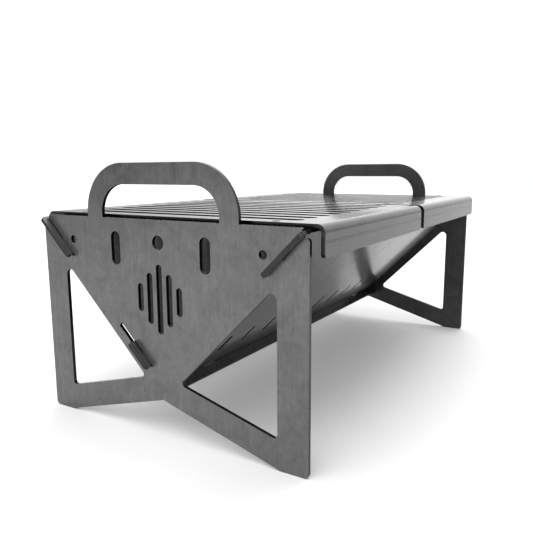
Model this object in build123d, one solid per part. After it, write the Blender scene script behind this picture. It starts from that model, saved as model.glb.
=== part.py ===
from build123d import *
from math import sqrt
import os

# Knock-down charcoal grill: two end plates, two sloping trough panels hooked into
# them and two grates lying on top. X is across, Y is along the trough, Z is up.
# The origin is on the ground under the middle of the grill. Sizes in millimetres.

# overall
LENGTH = 433.0
SHEET = 3.0
OVERRUN = 1.0  # how far joined outlines and cutters run past each other

# end plate
HALF_WIDTH = 127.0
PLATE_TOP = 170.4
FOOT_INNER = 103.5
FOOT_STEP = 0.8
BRACE_APEX = 30.0
BRACE_HEIGHT = 20.6
LEG_INNER = 102.8
OPENING_SLOPE = 0.2734
V_EDGE = 29.0
OPENING_RADIUS = 3.0
OPENING_TIP_RADIUS = 4.5
FOOT_RADIUS = 3.5
FOOT_STEP_RADIUS = 0.6
SHOULDER_RADIUS = 2.5
SLOT_LIP_X = 121.5
SLOT_LIP_DROP = 2.9
SLOT_LIP_RADIUS = 1.5

# carrying handle of an end plate
HANDLE_HALF = 73.2
HANDLE_TOP = 212.6
HANDLE_BAR = 16.2
HANDLE_RADIUS = 38.5

# cut-outs of an end plate
HOLE_X = 92.1
HOLE_Z = 151.1
HOLE_DIAMETER = 6.4
SIDE_SLOT_X = 43.8
SIDE_SLOT_WIDTH = 9.5
SIDE_SLOT_LOW = 133.5
SIDE_SLOT_HIGH = 160.0
AIR_HOLE_DIAMETER = 11.0
AIR_HOLE_Z = 153.5
AIR_SLOT_WIDTH = 5.6
AIR_SLOT_PITCH = 9.6
AIR_SLOT_SPANS = ((83.0, 137.0), (90.0, 130.0), (99.0, 121.0))

# trough panel, measured up its slope from the line where the two inner faces meet
TROUGH_LINE = 45.5
PANEL_RIM = 169.4  # height of the panels' top edges, which carry the grates
PANEL_TOP = (PANEL_RIM - TROUGH_LINE) * sqrt(2)
STRIP_END = -12.0
JOINT_GAP = 0.9  # between the strip and the right panel's lower edge
END_GAP = 0.2
HOOK_REACH = 6.1
HOOK_GAP = 0.2
HOOK_TIP_RADIUS = 2.6
HOOK_TOP_RADIUS = 2.5
UPPER_HOOK_HEAD = PANEL_TOP - 1.0
UPPER_HOOK_ROOT = 149.4
UPPER_HOOK_TIP = 131.3
LOWER_HOOK_HEAD = 39.9
LOWER_HOOK_ROOT = 27.8
LOWER_HOOK_TIP = 14.8
LOWER_SLOT_HEAD = 58.4
HOOK_SLOT_PLAY = 0.6
OPEN_SLOT_RUN = 20.0  # an upper hook slot is cut this far past the panel's top edge

# vents in a trough panel
VENT_COUNT = 11
VENT_PITCH = 34.0
VENT_CENTRE = 34.9
VENT_LENGTH = 20.4
VENT_WIDTH = 4.2

# tabs joining the right panel to the strip of the left panel
TAB_Y = 158.0
TAB_WIDTH = 17.0
TAB_DEPTH = 4.5
TAB_RADIUS = 1.0
TAB_SLOT_LENGTH = 18.0
TAB_SLOT_INNER = 0.3
TAB_SLOT_OUTER = -3.6

# grate
GRATE_LENGTH = 205.5
GRATE_HALF = 133.2
GRATE_LIFT = 0.05
GRATE_BEND = 6.0
GRATE_DEPTH = 22.2
GRATE_CORNER = 3.0
NEAR_GRATE_START = -207.0
FAR_GRATE_START = 7.9
GRATE_SLOTS = 9
GRATE_SLOT_PITCH = 20.4
GRATE_SLOT_WIDTH = 10.6
GRATE_SLOT_LENGTH = 213.0
GRATE_HOLE_X = 93.2
GRATE_HOLE_EDGE = 6.2
GRATE_HOLE_DIAMETER = 6.4
CREASE_Z = 160.3
CREASE_WIDTH = 1.2
CREASE_DEPTH = 0.2

SLOPE = sqrt(0.5)  # sine and cosine of the panels' 45 degrees
INNER_HALF = LENGTH / 2 - SHEET - END_GAP
GRATE_UNDERSIDE = PANEL_RIM + GRATE_LIFT
GRATE_TOP = GRATE_UNDERSIDE + SHEET
GRATE_BOTTOM = GRATE_TOP - GRATE_DEPTH


def nearest_vertex(face, x, y):
    """The face's vertex nearest to a point."""
    return min(face.vertices(), key=lambda v: abs(v.X - x) + abs(v.Y - y))


def rounded(face, corners, radius):
    """Face with the corners nearest to the given points rounded."""
    picked = [nearest_vertex(face, x, y) for x, y in corners]
    return fillet(picked, radius)


def box_face(x_low, x_high, y_low, y_high):
    """Rectangle between two X values and two Y values."""
    centre = Pos((x_low + x_high) / 2, (y_low + y_high) / 2)
    return centre * Rectangle(x_high - x_low, y_high - y_low)


def upright_slot(x, low, high, width):
    """Slot with round ends standing upright."""
    return Pos(x, (low + high) / 2) * SlotOverall(high - low, width, rotation=90)


def hook_slot(side, low, high):
    """Slot at 45 degrees that a panel hook passes through, side -1 left, +1 right."""
    width = SHEET + 2 * HOOK_SLOT_PLAY
    middle = (low + high) / 2
    x = side * (middle + SHEET / 2) * SLOPE
    z = TROUGH_LINE + (middle - SHEET / 2) * SLOPE
    return Pos(x, z) * Rectangle(high - low, width, rotation=side * 45)


def leg_opening(side):
    """Three-cornered opening between a leg, the trough and the brace."""
    brace_top = BRACE_APEX + BRACE_HEIGHT
    inner_x = (brace_top - V_EDGE) / (1 + OPENING_SLOPE)
    corners = (
        (side * LEG_INNER, LEG_INNER + V_EDGE),
        (side * LEG_INNER, brace_top - LEG_INNER * OPENING_SLOPE),
        (side * inner_x, inner_x + V_EDGE),
    )
    face = rounded(make_face(Polyline(*corners, close=True)), corners[:1], OPENING_TIP_RADIUS)
    return rounded(face, corners[1:], OPENING_RADIUS)


def plate_body():
    """Plate outline below the handle, with its two leg openings."""
    half = (
        (0, BRACE_APEX),
        (FOOT_INNER, FOOT_STEP),
        (FOOT_INNER, 0),
        (HALF_WIDTH, 0),
        (HALF_WIDTH, PLATE_TOP),
    )
    other = [(-x, z) for x, z in reversed(half[1:])]
    body = make_face(Polyline(*half, *other, close=True))
    body = rounded(body, ((HALF_WIDTH, 0), (-HALF_WIDTH, 0)), FOOT_RADIUS)
    body = rounded(body, ((FOOT_INNER, 0), (-FOOT_INNER, 0)), FOOT_STEP_RADIUS)
    for side in (-1, 1):
        body -= leg_opening(side)
    return body


def arch(half, bottom, top, radius):
    """Rectangle whose two upper corners are rounded."""
    face = box_face(-half, half, bottom, top)
    return rounded(face, ((-half, top), (half, top)), radius)


def handle():
    """Carrying handle standing on the top edge of the plate."""
    inner_half = HANDLE_HALF - HANDLE_BAR
    inner_top = HANDLE_TOP - HANDLE_BAR
    outer = arch(HANDLE_HALF, PLATE_TOP - OVERRUN, HANDLE_TOP, HANDLE_RADIUS)
    return outer - arch(inner_half, PLATE_TOP, inner_top, HANDLE_RADIUS - HANDLE_BAR)


def air_cutouts():
    """Plain round and upright openings in the middle of the plate."""
    cuts = Pos(0, AIR_HOLE_Z) * Circle(AIR_HOLE_DIAMETER / 2)
    for side in (-1, 1):
        cuts += Pos(side * HOLE_X, HOLE_Z) * Circle(HOLE_DIAMETER / 2)
        cuts += upright_slot(side * SIDE_SLOT_X, SIDE_SLOT_LOW, SIDE_SLOT_HIGH, SIDE_SLOT_WIDTH)
    for step, (low, high) in enumerate(AIR_SLOT_SPANS):
        for side in (-1, 1) if step else (1,):
            cuts += upright_slot(side * step * AIR_SLOT_PITCH, low, high, AIR_SLOT_WIDTH)
    return cuts


def end_plate(outer_y):
    """Laser-cut end plate; outer_y is the Y of its outer face."""
    face = plate_body()
    for side in (-1, 1):
        face -= hook_slot(side, UPPER_HOOK_ROOT, PANEL_TOP + OPEN_SLOT_RUN)
        mouth = Pos(side * (SLOT_LIP_X + HALF_WIDTH) / 2, PLATE_TOP)
        face -= mouth * Rectangle(HALF_WIDTH - SLOT_LIP_X, 2 * SLOT_LIP_DROP)
    play = HOOK_SLOT_PLAY * sqrt(2)
    shoulder = HALF_WIDTH + TROUGH_LINE - SHEET * sqrt(2) - play
    face = rounded(face, ((-SLOT_LIP_X, PLATE_TOP), (SLOT_LIP_X, PLATE_TOP)), SLOT_LIP_RADIUS)
    face = rounded(face, ((-HALF_WIDTH, shoulder), (HALF_WIDTH, shoulder)), SHOULDER_RADIUS)
    face += handle()
    face -= hook_slot(-1, LOWER_HOOK_ROOT, LOWER_SLOT_HEAD)
    face -= air_cutouts()
    low_y = outer_y - SHEET if outer_y > 0 else outer_y
    standing = Plane(origin=(0, low_y, 0), x_dir=(1, 0, 0), z_dir=(0, -1, 0))
    return extrude(standing * face, amount=-SHEET)


def hook(head, root, tip):
    """Hook at the end of a panel, hanging over the end plate's outer face."""
    back = LENGTH / 2 + HOOK_GAP
    front = LENGTH / 2 + HOOK_REACH
    shape = box_face(INNER_HALF - OVERRUN, front, root, head)
    shape += box_face(back, front, tip, root + OVERRUN)
    shape = rounded(shape, ((front, tip), (back, tip)), HOOK_TIP_RADIUS)
    return rounded(shape, ((front, head),), HOOK_TOP_RADIUS)


def both_ends(shape):
    """The shape together with its mirror image at the panel's other end."""
    return shape + mirror(shape, about=Plane.YZ)


def panel_face(low):
    """Flat outline of a panel from its lower end to its top edge, with vents."""
    face = box_face(-INNER_HALF, INNER_HALF, low, PANEL_TOP)
    face += both_ends(hook(UPPER_HOOK_HEAD, UPPER_HOOK_ROOT, UPPER_HOOK_TIP))
    first = -(VENT_COUNT - 1) / 2 * VENT_PITCH
    vent = SlotOverall(VENT_LENGTH, VENT_WIDTH, rotation=90)
    for i in range(VENT_COUNT):
        face -= Pos(first + i * VENT_PITCH, VENT_CENTRE) * vent
    return face


def left_panel():
    """Panel on the -X side: its lower end runs on as a strip under the right one."""
    face = panel_face(STRIP_END)
    face += both_ends(hook(LOWER_HOOK_HEAD, LOWER_HOOK_ROOT, LOWER_HOOK_TIP))
    half = TAB_SLOT_LENGTH / 2
    face -= both_ends(box_face(TAB_Y - half, TAB_Y + half, TAB_SLOT_OUTER, TAB_SLOT_INNER))
    sloping = Plane(origin=(0, 0, TROUGH_LINE), x_dir=(0, 1, 0), z_dir=(1, 0, 1))
    return extrude(sloping * face, amount=-SHEET)


def right_panel():
    """Panel on the +X side: its lower edge ends just above the strip, held by two tabs."""
    half = TAB_WIDTH / 2
    tab = box_face(TAB_Y - half, TAB_Y + half, -TAB_DEPTH, JOINT_GAP + OVERRUN)
    tab = rounded(tab, ((TAB_Y - half, -TAB_DEPTH), (TAB_Y + half, -TAB_DEPTH)), TAB_RADIUS)
    face = panel_face(JOINT_GAP) + both_ends(tab)
    sloping = Plane(origin=(0, 0, TROUGH_LINE), x_dir=(0, -1, 0), z_dir=(-1, 0, 1))
    return extrude(sloping * face, amount=-SHEET)


def grate_profile():
    """Cross-section of a grate: a flat top with both side edges bent down."""
    inner_half = GRATE_HALF - SHEET
    inner_bend = GRATE_BEND - SHEET
    profile = arch(GRATE_HALF, GRATE_BOTTOM, GRATE_TOP, GRATE_BEND)
    profile -= arch(inner_half, GRATE_BOTTOM - OVERRUN, GRATE_UNDERSIDE, inner_bend)
    for side in (-1, 1):
        profile -= Pos(side * GRATE_HALF, CREASE_Z) * Rectangle(2 * CREASE_DEPTH, CREASE_WIDTH)
    return profile


def flange_outline(start, end):
    """Side view of a grate as a full-width block with rounded lower corners."""
    face = box_face(start, end, GRATE_BOTTOM, GRATE_TOP)
    face = rounded(face, ((start, GRATE_BOTTOM), (end, GRATE_BOTTOM)), GRATE_CORNER)
    side_on = Plane(origin=(-GRATE_HALF, 0, 0), x_dir=(0, 1, 0), z_dir=(1, 0, 0))
    return extrude(side_on * face, amount=2 * GRATE_HALF)


def grate_cutouts(start, end):
    """Cross slots and the small holes near the corners of a grate's top."""
    cuts = Sketch()
    first = (start + end) / 2 - (GRATE_SLOTS - 1) / 2 * GRATE_SLOT_PITCH
    for i in range(GRATE_SLOTS):
        slot = SlotOverall(GRATE_SLOT_LENGTH, GRATE_SLOT_WIDTH)
        cuts += Pos(0, first + i * GRATE_SLOT_PITCH) * slot
    for side in (-1, 1):
        for y in (start + GRATE_HOLE_EDGE, end - GRATE_HOLE_EDGE):
            cuts += Pos(side * GRATE_HOLE_X, y) * Circle(GRATE_HOLE_DIAMETER / 2)
    return cuts


def grate(start):
    """Slotted sheet with both side edges bent down, its near edge at Y = start."""
    end = start + GRATE_LENGTH
    across = Plane(origin=(0, start, 0), x_dir=(1, 0, 0), z_dir=(0, -1, 0))
    body = extrude(across * grate_profile(), amount=-GRATE_LENGTH)
    body &= flange_outline(start, end)
    below = Plane.XY.offset(GRATE_UNDERSIDE - OVERRUN)
    return body - extrude(below * grate_cutouts(start, end), amount=SHEET + 2 * OVERRUN)


PARTS = {
    "near_end_plate": end_plate(-LENGTH / 2),
    "far_end_plate": end_plate(LENGTH / 2),
    "left_side_panel": left_panel(),
    "right_side_panel": right_panel(),
    "near_grate": grate(NEAR_GRATE_START),
    "far_grate": grate(FAR_GRATE_START),
}

os.makedirs("parts", exist_ok=True)
for name, shape in PARTS.items():
    export_step(shape, f"parts/{name}.step")
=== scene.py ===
import math

import bpy
from mathutils import Matrix, Vector


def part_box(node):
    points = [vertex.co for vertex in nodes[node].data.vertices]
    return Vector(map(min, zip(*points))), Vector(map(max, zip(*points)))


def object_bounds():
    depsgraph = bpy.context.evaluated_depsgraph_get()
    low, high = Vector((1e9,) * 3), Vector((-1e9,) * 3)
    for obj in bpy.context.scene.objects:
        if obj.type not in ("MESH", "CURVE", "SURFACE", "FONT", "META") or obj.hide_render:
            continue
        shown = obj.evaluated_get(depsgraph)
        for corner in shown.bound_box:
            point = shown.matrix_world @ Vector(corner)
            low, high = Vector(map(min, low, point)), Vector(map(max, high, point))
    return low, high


# Sheet-steel camp grill on a plain white floor in soft studio light.
# Everything is in metres, in the CAD frame: X across, Y along the trough, Z up.

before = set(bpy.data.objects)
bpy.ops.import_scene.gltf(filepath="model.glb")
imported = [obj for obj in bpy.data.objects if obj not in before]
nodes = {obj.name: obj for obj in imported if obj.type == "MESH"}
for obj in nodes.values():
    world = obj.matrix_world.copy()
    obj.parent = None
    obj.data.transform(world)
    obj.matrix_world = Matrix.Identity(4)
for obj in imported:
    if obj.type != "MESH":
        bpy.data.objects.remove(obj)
cad_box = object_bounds()

ALONG_X = Vector((1, 0, 0))
ALONG_Y = Vector((0, 1, 0))
UP = Vector((0, 0, 1))
HALF = math.sqrt(0.5)
ACROSS_LEFT = Vector((HALF, 0, HALF))  # square to the left panel, into the trough
ACROSS_RIGHT = Vector((-HALF, 0, HALF))

GRATE_LOW, GRATE_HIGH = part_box("near_grate")
GRATE_BEND = 0.006  # outer radius of its bent side edges
FLANGE_EDGE_REACH = GRATE_BEND / 8  # height of the band that counts as a flange's lower edge
PLATE_OUTER_FACE = -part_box("near_end_plate")[0].y
PLATE_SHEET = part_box("near_end_plate")[1].y + PLATE_OUTER_FACE
DIE_MARK_DROP = 0.0115  # below a grate's top, on its flanges
DIE_MARK_CORE = 0.0003
DIE_MARK_REACH = 0.0012
DIE_MARK_WANDER = 0.0002
DIE_MARK_SHARE = 0.6  # share of the sheet's grey left in the mark

# how each kind of sheet looks: its grey, its roughness, how much of its shine is left at a
# grazing view, the oil film on it, and the strength of its grain, blotches and relief
PLATE_LOOK = {
    "tone": 0.149, "rough": 0.34, "uneven_gloss": 0.15, "grazing": 0.9, "film": 0.0,
    "grain": 0.07, "speckle": 0.12, "blotches": 0.14, "relief": 0.000012,
}
PANEL_LOOK = {
    "tone": 0.14, "rough": 0.36, "uneven_gloss": 0.3, "grazing": 0.66, "film": 0.5,
    "grain": 0.20, "speckle": 0.10, "blotches": 0.14, "relief": 0.000040,
}
GRATE_LOOK = {
    "tone": 0.090, "rough": 0.26, "uneven_gloss": 0.2, "grazing": 0.66, "film": 0.42,
    "grain": 0.05, "speckle": 0.08, "blotches": 0.12, "relief": 0.000012,
}
PAINTED_SHADE_SHARE = 0.42  # share of the sheet's grey left by the painted shade on the trough's inner faces
FILM_ROUGH = 0.08

# cut edges are darker and glossier than the sheet, and slightly rounded
EDGE_TONE = 0.042
EDGE_ROUGH = 0.24
EDGE_ROUNDING = 0.00014
CUT_TONE_SPREAD = 0.12
CUT_ROUGH_SPREAD = 0.1

# how square a face is to a direction (cosine), from not counted to fully counted
SQUARE = (0.35, 0.75)
NEARLY_FLAT = (0.25, 0.6)
PAINTED_SHADE_TURN = 0.2  # cosine either side of edge-on over which the painted shade fades

# patterns in the steel: noise scale per metre, detail, roughness and distortion
BRUSHING = (1100.0, 2.0, 0.6)
STREAKS = (300.0, 3.0, 0.65, 0.5)
SPECKLE = (700.0, 3.0, 0.7)
CLOUD = (60.0, 4.0, 0.6, 0.8)
SHADE = (14.0, 2.0, 0.5)
THREADS = (70.0, 1.0)
SCRATCHES = (520.0, 1.0, 0.4)
CUT_MARKS = (2400.0, 2.0, 0.6)
WANDER = (40.0, 1.0)
FLOOR_SHADE = (3.0, 2.0)
USUAL_LOW, USUAL_HIGH = 0.3, 0.7  # nearly all of a noise lies between these
NOISE_MIDDLE = 0.5
THREAD_WIDTH = 0.008  # in noise units off the middle
THREAD_AREAS = (0.48, 0.6)  # of the cloud noise, from no threads to all of them
SCRATCH_CUT = (0.76, 0.82)  # of the scratch noise, from none to a full scratch

# shares of each pattern in the sheet's grey, its gloss and its relief
BRUSHING_IN_GREY = 0.7
SHADE_IN_GREY = 0.5
THREADS_IN_GREY = -0.2
SCRATCHES_IN_GREY = 0.25
GLOSS_SHARES = {"streaks": 0.6, "cloud": 0.5, "speckle": 0.4}
RELIEF_SHARES = {"brushing": 0.35, "streaks": 0.8, "speckle": 0.25, "threads": -0.3}

# how many times longer than wide a pattern is drawn
LONG_STRETCH = 22.0
SHORT_STRETCH = 2.4
SCRATCH_STRETCH = 30.0
CUT_STRETCH = 8.0

# the camera at the photograph's place
CAMERA_PLACE = Vector((0.291693, -0.537012, 0.207416))
CAMERA_YAW = -0.550546
CAMERA_PITCH = -0.168112
CAMERA_ROLL = -0.006349
LENS_MM = 38.92
SENSOR_MM = 36.0
NEAREST = 0.01

# soft lamps of the studio: azimuth from +Y towards +X, elevation, strength
STUDIO_LAMPS = {
    "back": (0, 32, 1.23),
    "back_low": (330, 5, 0.40),
    "front": (180, 32, 1.34),
    "right_front": (135, 32, 0.53),
    "back_left": (315, 32, 0.43),
    "back_right": (45, 32, 0.15),
    "high_left_front": (225, 60, 0.83),
    "high_right_front": (135, 60, 0.17),
    "overhead": (0, 90, 0.80),
}
LAMP_RIM, LAMP_HEART = 0.6, 0.95  # cosines off a lamp's middle where it fades out and is full
ROOM_LEVEL = 0.06
WHITE = (1.0, 1.0, 1.0, 1.0)

FLOOR_HALF = 6.0
FLOOR_LEVEL = (0.89, 0.91)
FLOOR_ROUGH = 0.7


# ---------------------------------------------------------------- node helpers


class Graph:
    """Small helper that builds a shader tree node by node."""

    def __init__(self, tree):
        self.tree = tree
        tree.nodes.clear()

    def set(self, socket, value):
        """Link another node's output to a socket, or store a number or a colour in it."""
        if isinstance(value, bpy.types.NodeSocket):
            self.tree.links.new(value, socket)
        else:
            socket.default_value = value

    def add(self, kind, inputs=(), **settings):
        """New node with its settings and its inputs: numbers, colours or other nodes' outputs."""
        made = self.tree.nodes.new(kind)
        for name, value in settings.items():
            setattr(made, name, value)
        for key, value in dict(inputs).items():
            self.set(made.inputs[key], value)
        return made

    def math(self, operation, a, b=0.0, third=0.0):
        return self.add("ShaderNodeMath", {0: a, 1: b, 2: third}, operation=operation).outputs[0]

    def dot(self, vector, direction):
        inputs = {0: vector, 1: direction}
        made = self.add("ShaderNodeVectorMath", inputs, operation="DOT_PRODUCT")
        return made.outputs["Value"]

    def facing(self, vector, direction):
        """Size of a vector along a direction, whichever way it points."""
        return self.math("ABSOLUTE", self.dot(vector, direction))

    def noise(self, vector, scale, detail=3.0, roughness=0.5, distortion=0.0):
        inputs = {
            "Vector": vector,
            "Scale": scale,
            "Detail": detail,
            "Roughness": roughness,
            "Distortion": distortion,
        }
        return self.add("ShaderNodeTexNoise", inputs).outputs[0]

    def span(self, value, low, high, to_low=0.0, to_high=1.0, smooth=False):
        """Value moved from the span low..high to the span to_low..to_high, and kept inside it."""
        inputs = {0: value, 1: low, 2: high, 3: to_low, 4: to_high}
        kind = "SMOOTHSTEP" if smooth else "LINEAR"
        made = self.add("ShaderNodeMapRange", inputs, interpolation_type=kind, clamp=True)
        return made.outputs[0]

    def usual(self, pattern, to_low, to_high):
        """A noise spread over to_low..to_high."""
        return self.span(pattern, USUAL_LOW, USUAL_HIGH, to_low, to_high)

    def swing(self, pattern, size):
        """A noise as a change of up to size either way."""
        return self.usual(pattern, -size, size)

    def total(self, values):
        result = values[0]
        for value in values[1:]:
            result = self.math("ADD", result, value)
        return result

    def mix(self, factor, a, b):
        made = self.add("ShaderNodeMix", data_type="RGBA", clamp_factor=True)
        for index, value in ((0, factor), (6, a), (7, b)):
            self.set(made.inputs[index], value)
        return made.outputs[2]

    def grey(self, value):
        """A number as a neutral colour."""
        inputs = {0: value, 1: value, 2: value}
        return self.add("ShaderNodeCombineColor", inputs).outputs[0]


# ------------------------------------------------------------------- materials


def grained(graph, place, along, across, through, stretch):
    """Place squeezed along one direction, which stretches any pattern laid on it that way."""
    inputs = {
        0: graph.dot(place, across),
        1: graph.dot(place, through),
        2: graph.math("MULTIPLY", graph.dot(place, along), 1.0 / stretch),
    }
    return graph.add("ShaderNodeCombineXYZ", inputs).outputs[0]


def rolling_threads(graph, long_lines, cloud):
    """Mask of the rolling lines: thin threads along the grain, only in some areas."""
    away = graph.math("SUBTRACT", graph.noise(long_lines, *THREADS), NOISE_MIDDLE)
    threads = graph.span(graph.math("ABSOLUTE", away), 0.0, THREAD_WIDTH, 1.0, 0.0)
    return graph.math("MULTIPLY", threads, graph.span(cloud, *THREAD_AREAS))


def painted_shade_share(graph, place, normal, inner):
    """Share of the grey left by painted shade: less only between the plates, on the trough's
    inside.
    """
    outside = graph.math(
        "GREATER_THAN", graph.facing(place, ALONG_Y), PLATE_OUTER_FACE - PLATE_SHEET / 2
    )
    share = graph.span(graph.dot(normal, inner), -PAINTED_SHADE_TURN, PAINTED_SHADE_TURN, 1.0, PAINTED_SHADE_SHARE)
    return graph.math("MAXIMUM", share, outside)


def steel(name, sheet, grain, edge_mask, look, painted_shade_side=None, line_mask=None):
    """Sheet steel: grain along one direction, blotches, scratches, glossy dark cut edges and, if
    asked, painted shade on the trough's inside.
    """
    material = bpy.data.materials.new(name)
    material.use_nodes = True
    graph = Graph(material.node_tree)
    coordinates = graph.add("ShaderNodeTexCoord")
    place = coordinates.outputs["Object"]
    normal = coordinates.outputs["Normal"]
    across = sheet.cross(grain)
    long_lines = grained(graph, place, grain, across, sheet, LONG_STRETCH)
    short_lines = grained(graph, place, grain, across, sheet, SHORT_STRETCH)
    crosswise = grained(graph, place, across, grain, sheet, SCRATCH_STRETCH)
    through = grained(graph, place, sheet, across, grain, CUT_STRETCH)

    patterns = {
        "brushing": graph.noise(long_lines, *BRUSHING),
        "streaks": graph.noise(long_lines, *STREAKS),
        "speckle": graph.noise(short_lines, *SPECKLE),
        "cloud": graph.noise(place, *CLOUD),
    }
    patterns["threads"] = rolling_threads(graph, long_lines, patterns["cloud"])
    shade = graph.noise(place, *SHADE)
    # a few thin light lines across the grain
    scratches = graph.span(graph.noise(crosswise, *SCRATCHES), *SCRATCH_CUT)
    cut_marks = graph.noise(through, *CUT_MARKS)

    edge = edge_mask(graph, place, normal)
    flat = graph.math("SUBTRACT", 1.0, edge)
    film = graph.math("MULTIPLY", flat, look["film"]) if look["film"] else 0.0

    wear = graph.total([
        graph.swing(patterns["brushing"], BRUSHING_IN_GREY * look["grain"]),
        graph.swing(patterns["streaks"], look["grain"]),
        graph.swing(patterns["speckle"], look["speckle"]),
        graph.swing(patterns["cloud"], look["blotches"]),
        graph.swing(shade, SHADE_IN_GREY * look["blotches"]),
        graph.math("MULTIPLY", patterns["threads"], THREADS_IN_GREY),
        graph.math("MULTIPLY", scratches, SCRATCHES_IN_GREY),
    ])
    sheet_level = graph.math("MULTIPLY", graph.math("ADD", wear, 1.0), look["tone"])
    # painted shade: the grey and the oil film are cut down on faces turned into the trough, where
    # shade falls
    if painted_shade_side:
        share = painted_shade_share(graph, place, normal, painted_shade_side)
        sheet_level = graph.math("MULTIPLY", sheet_level, share)
        if look["film"]:
            film = graph.math("MULTIPLY", share, film)
    if line_mask:
        share = graph.span(line_mask(graph, place), 0.0, 1.0, 1.0, DIE_MARK_SHARE)
        sheet_level = graph.math("MULTIPLY", sheet_level, share)
    edge_level = graph.usual(cut_marks, 1 - CUT_TONE_SPREAD, 1 + CUT_TONE_SPREAD)
    edge_level = graph.math("MULTIPLY", edge_level, EDGE_TONE)
    colour = graph.mix(edge, graph.grey(sheet_level), graph.grey(edge_level))

    uneven = graph.total([
        graph.swing(patterns[pattern], share) for pattern, share in GLOSS_SHARES.items()
    ])
    uneven = graph.math("MULTIPLY_ADD", uneven, look["uneven_gloss"], third=1.0)
    rough_sheet = graph.math("MULTIPLY", graph.math("MULTIPLY", uneven, look["rough"]), flat)
    rough_low, rough_high = (EDGE_ROUGH * (1 + side * CUT_ROUGH_SPREAD) for side in (-1, 1))
    rough_edge = graph.usual(cut_marks, rough_low, rough_high)
    rough = graph.math("MULTIPLY_ADD", rough_edge, edge, third=rough_sheet)

    height = graph.total([
        graph.math("MULTIPLY", patterns[pattern], share)
        for pattern, share in RELIEF_SHARES.items()
    ])
    rounded = graph.add("ShaderNodeBevel", {"Radius": EDGE_ROUNDING}, samples=4).outputs[0]
    relief = {"Strength": 1.0, "Distance": look["relief"], "Height": height, "Normal": rounded}
    bump = graph.add("ShaderNodeBump", relief).outputs[0]
    surface = graph.add(
        "ShaderNodeBsdfPrincipled",
        {
            "Base Color": colour,
            "Metallic": 1.0,
            "Roughness": rough,
            "Specular Tint": (look["grazing"], look["grazing"], look["grazing"], 1.0),
            "Coat Weight": film,
            "Coat Roughness": FILM_ROUGH,
            "Normal": bump,
            "Coat Normal": bump,
        },
    )
    graph.add("ShaderNodeOutputMaterial", {"Surface": surface.outputs[0]})
    return material


def flat_sheet_edges(sheet):
    """Mask of a flat sheet's cut edges: where the normal leaves the sheet's own."""

    def mask(graph, place, normal):
        return graph.span(graph.facing(normal, sheet), *SQUARE, 1.0, 0.0)

    return mask


def grate_edges(graph, place, normal):
    """Mask of a grate's cut edges: its ends, its slots' walls and its flanges' lower edges."""
    ends = graph.span(graph.facing(normal, ALONG_Y), *SQUARE)
    upright = graph.span(graph.facing(normal, UP), *NEARLY_FLAT, 1.0, 0.0)
    inner = graph.math("LESS_THAN", graph.facing(place, ALONG_X), GRATE_HIGH.x - 2 * GRATE_BEND)
    slots = graph.math("MULTIPLY", upright, inner)
    low = graph.math("LESS_THAN", graph.dot(place, UP), GRATE_LOW.z + FLANGE_EDGE_REACH)
    low = graph.math("MULTIPLY", low, graph.span(graph.dot(normal, -UP), *SQUARE))
    return graph.math("MAXIMUM", graph.math("MAXIMUM", ends, slots), low)


def die_mark(graph, place):
    """Mask of the thin line that the bending tool left along each flange of a grate."""
    away = graph.math("SUBTRACT", graph.dot(place, UP), GRATE_HIGH.z - DIE_MARK_DROP)
    wander = graph.swing(graph.noise(place, *WANDER), DIE_MARK_WANDER)
    away = graph.math("ABSOLUTE", graph.math("ADD", away, wander))
    return graph.span(away, DIE_MARK_CORE, DIE_MARK_REACH, 1.0, 0.0)


def plate_steel(name, inner):
    """An end plate's steel, with painted shade on the side that faces the trough."""
    return steel(name, ALONG_Y, UP, flat_sheet_edges(ALONG_Y), PLATE_LOOK, painted_shade_side=inner)


def panel_steel(name, inner, grain):
    """A side panel's steel, with painted shade on the side that faces the trough."""
    return steel(name, inner, grain, flat_sheet_edges(inner), PANEL_LOOK, painted_shade_side=inner)


GRATE_STEEL = steel("grate_sheet", UP, ALONG_Y, grate_edges, GRATE_LOOK, line_mask=die_mark)
MATERIALS = {
    "near_end_plate": plate_steel("near_plate_sheet", ALONG_Y),
    "far_end_plate": plate_steel("far_plate_sheet", -ALONG_Y),
    "left_side_panel": panel_steel("left_panel_sheet", ACROSS_LEFT, ACROSS_RIGHT),
    "right_side_panel": panel_steel("right_panel_sheet", ACROSS_RIGHT, ACROSS_LEFT),
    "near_grate": GRATE_STEEL,
    "far_grate": GRATE_STEEL,
}
for name, material in MATERIALS.items():
    nodes[name].material_slots[0].material = material


# ----------------------------------------------------------------------- stage


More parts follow.
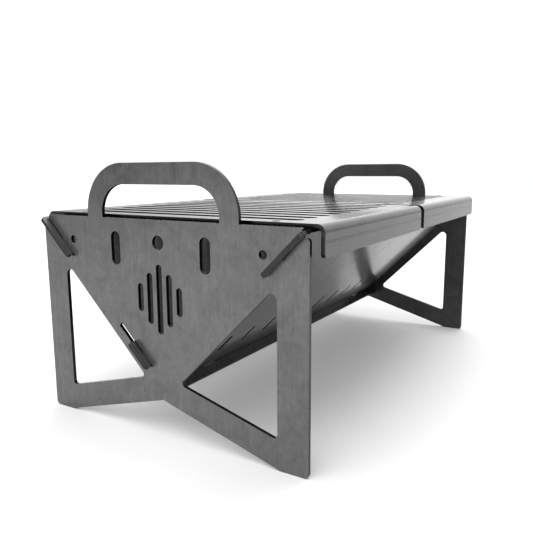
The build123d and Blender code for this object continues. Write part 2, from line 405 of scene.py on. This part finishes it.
def floor():
    """Large plain floor under the grill."""
    mesh = bpy.data.meshes.new("floor")
    corners = [(-1, -1), (1, -1), (1, 1), (-1, 1)]
    places = [(FLOOR_HALF * x, FLOOR_HALF * y, cad_box[0].z) for x, y in corners]
    mesh.from_pydata(places, [], [(0, 1, 2, 3)])
    made = bpy.data.objects.new("floor", mesh)
    bpy.context.scene.collection.objects.link(made)
    material = bpy.data.materials.new("white_floor")
    material.use_nodes = True
    graph = Graph(material.node_tree)
    place = graph.add("ShaderNodeTexCoord").outputs["Object"]
    level = graph.usual(graph.noise(place, *FLOOR_SHADE), *FLOOR_LEVEL)
    surface = graph.add(
        "ShaderNodeBsdfPrincipled", {"Base Color": graph.grey(level), "Roughness": FLOOR_ROUGH}
    )
    graph.add("ShaderNodeOutputMaterial", {"Surface": surface.outputs[0]})
    mesh.materials.append(material)


def studio():
    """White studio: each lamp is a wide soft patch of the surroundings."""
    world = bpy.data.worlds.new("studio")
    bpy.context.scene.world = world
    world.use_nodes = True
    graph = Graph(world.node_tree)
    way = graph.add("ShaderNodeTexCoord").outputs["Generated"]
    seen = ROOM_LEVEL
    for azimuth, elevation, strength in STUDIO_LAMPS.values():
        turn, lift = math.radians(azimuth), math.radians(elevation)
        aim = (math.sin(turn) * math.cos(lift), math.cos(turn) * math.cos(lift), math.sin(lift))
        patch = graph.span(graph.dot(way, aim), LAMP_RIM, LAMP_HEART, 0.0, strength, smooth=True)
        seen = graph.math("ADD", patch, seen)
    camera_ray = graph.add("ShaderNodeLightPath").outputs["Is Camera Ray"]
    level = graph.mix(camera_ray, graph.grey(seen), WHITE)
    surface = graph.add("ShaderNodeBackground", {"Color": level, "Strength": 1.0})
    graph.add("ShaderNodeOutputWorld", {"Surface": surface.outputs[0]})


def camera():
    """Camera at the photograph's place, with its aim given as yaw, pitch and roll."""
    forward = Vector((
        math.sin(CAMERA_YAW) * math.cos(CAMERA_PITCH),
        math.cos(CAMERA_YAW) * math.cos(CAMERA_PITCH),
        math.sin(CAMERA_PITCH),
    ))
    right = Vector((math.cos(CAMERA_YAW), -math.sin(CAMERA_YAW), 0))
    up = right.cross(forward)
    right, up = (
        right * math.cos(CAMERA_ROLL) + up * math.sin(CAMERA_ROLL),
        up * math.cos(CAMERA_ROLL) - right * math.sin(CAMERA_ROLL),
    )
    data = bpy.data.cameras.new("camera")
    data.lens = LENS_MM
    data.sensor_width = SENSOR_MM
    data.clip_start = NEAREST
    made = bpy.data.objects.new("camera", data)
    turn = Matrix((right, up, -forward)).transposed().to_4x4()
    made.matrix_world = Matrix.Translation(CAMERA_PLACE) @ turn
    bpy.context.scene.collection.objects.link(made)
    bpy.context.scene.camera = made


camera()
floor()
studio()

scene = bpy.context.scene
scene.view_settings.view_transform = "Standard"
scene.view_settings.look = "None"
